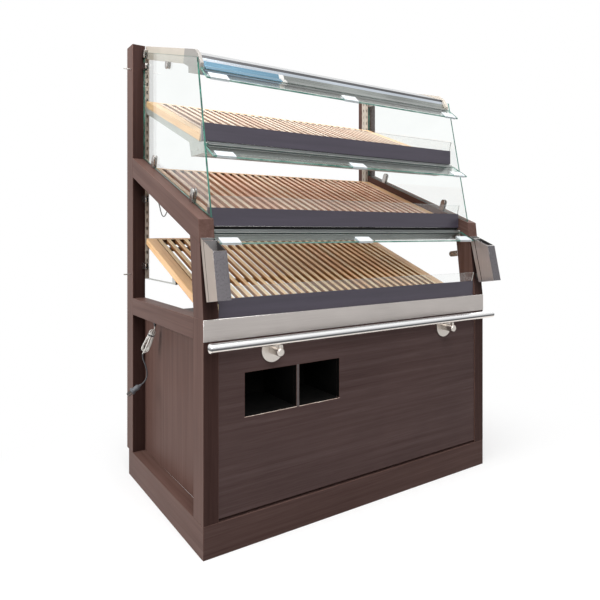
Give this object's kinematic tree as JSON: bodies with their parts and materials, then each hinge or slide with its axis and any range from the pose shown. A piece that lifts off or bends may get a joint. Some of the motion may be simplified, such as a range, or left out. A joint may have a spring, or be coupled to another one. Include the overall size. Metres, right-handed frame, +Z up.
{
  "type": "bread display station",
  "caption": "Free-standing bakery display with sloped slat racks on tiers over a cabinet, swinging glass strips, side glasses, handrail, tong holders and a bag niche.",
  "frame": {"origin": "on the floor at mid width, under the middle of the front plinth board", "axes": "+X to the customer's right, +Y from the customer's side to the back, +Z up"},
  "size_m": [1.3155, 0.863, 1.715],
  "materials": {
    "dark_laminate": "satin dark wood laminate",
    "niche_black": "matt black",
    "brushed_steel": "brushed",
    "polished_steel": "polished",
    "beige_steel": "satin",
    "rack_wood": "oiled light wood",
    "channel_grey": "satin dark grey",
    "clear_plastic": "clear",
    "clip_plastic": "milky clear",
    "edge_rail": "satin",
    "glass": "clear with green edges",
    "diffuser": "opal",
    "lamp": "matt",
    "driver": "matt",
    "black_plastic": "matt",
    "white_cord": "matt"
  },
  "bodies": {
    "station": {"cabinet_back": "dark_laminate", "cabinet_floor": "dark_laminate", "cabinet_top": "dark_laminate", "canopy_arms": "beige_steel", "canopy_housing": "brushed_steel", "cord_gland": "black_plastic", "cord_hank": "white_cord", "fasteners": "polished_steel", "front_apron": "brushed_steel", "front_panel": "dark_laminate", "front_posts": "dark_laminate", "glass_clamps": "polished_steel", "handrail_brackets": "polished_steel", "handrail_caps": "polished_steel", "handrail_tube": "polished_steel", "hinge_pins": "polished_steel", "lamp_driver": "driver", "lamp_strips": "lamp", "left_rear_post": "dark_laminate", "left_side_glass": "glass", "light_cable": "black_plastic", "light_diffusers": "diffuser", "link_pins": "polished_steel", "lower_fascia": "channel_grey", "lower_lip": "clear_plastic", "mid_fascia": "channel_grey", "mid_housing": "brushed_steel", "mid_lip": "clear_plastic", "niche_boxes": "niche_black", "plinth_boards": "dark_laminate", "plug": "black_plastic", "plug_lead": "black_plastic", "right_rear_post": "dark_laminate", "right_side_glass": "glass", "shelf_arms": "beige_steel", "shelf_standards": "beige_steel", "side_panels": "dark_laminate", "side_rails": "dark_laminate", "slant_posts": "dark_laminate", "sloped_rails": "dark_laminate", "supply_lead": "black_plastic", "tong_holders": "brushed_steel", "upper_fascia": "channel_grey", "upper_housing": "brushed_steel", "upper_lip": "clear_plastic"},
    "lower_rack": {"lower_rack_frame": "rack_wood", "lower_rack_slats": "rack_wood"},
    "mid_rack": {"mid_rack_frame": "rack_wood", "mid_rack_slats": "rack_wood"},
    "upper_rack": {"upper_rack_frame": "rack_wood", "upper_rack_slats": "rack_wood"},
    "mid_flap": {"mid_flap_glass": "glass", "mid_flap_rail": "edge_rail", "mid_flap_grips": "clip_plastic"},
    "upper_flap": {"upper_flap_glass": "glass", "upper_flap_rail": "edge_rail", "upper_flap_grips": "clip_plastic"},
    "canopy_flap": {"canopy_flap_glass": "glass", "canopy_flap_rail": "edge_rail", "canopy_flap_grips": "clip_plastic"}
  },
  "joints": [
    {"name": "lower_rack_lift", "type": "slide", "parent": "station", "child": "lower_rack", "axis": [0, 0, 1], "range_m": [0, 0.06]},
    {"name": "mid_rack_lift", "type": "slide", "parent": "station", "child": "mid_rack", "axis": [0, 0, 1], "range_m": [0, 0.06]},
    {"name": "upper_rack_lift", "type": "slide", "parent": "station", "child": "upper_rack", "axis": [0, 0, 1], "range_m": [0, 0.06]},
    {"name": "mid_flap_hinge", "type": "hinge", "parent": "station", "child": "mid_flap", "pos_m": [0, 0.0675, 0.97459], "axis": [-1, 0, 0], "range_deg": [0, 60]},
    {"name": "upper_flap_hinge", "type": "hinge", "parent": "station", "child": "upper_flap", "pos_m": [0, 0.1125, 1.25559], "axis": [-1, 0, 0], "range_deg": [0, 60]},
    {"name": "canopy_flap_hinge", "type": "hinge", "parent": "station", "child": "canopy_flap", "pos_m": [0, 0.13752, 1.50443], "axis": [-1, 0, 0], "range_deg": [0, 60]}
  ]
}
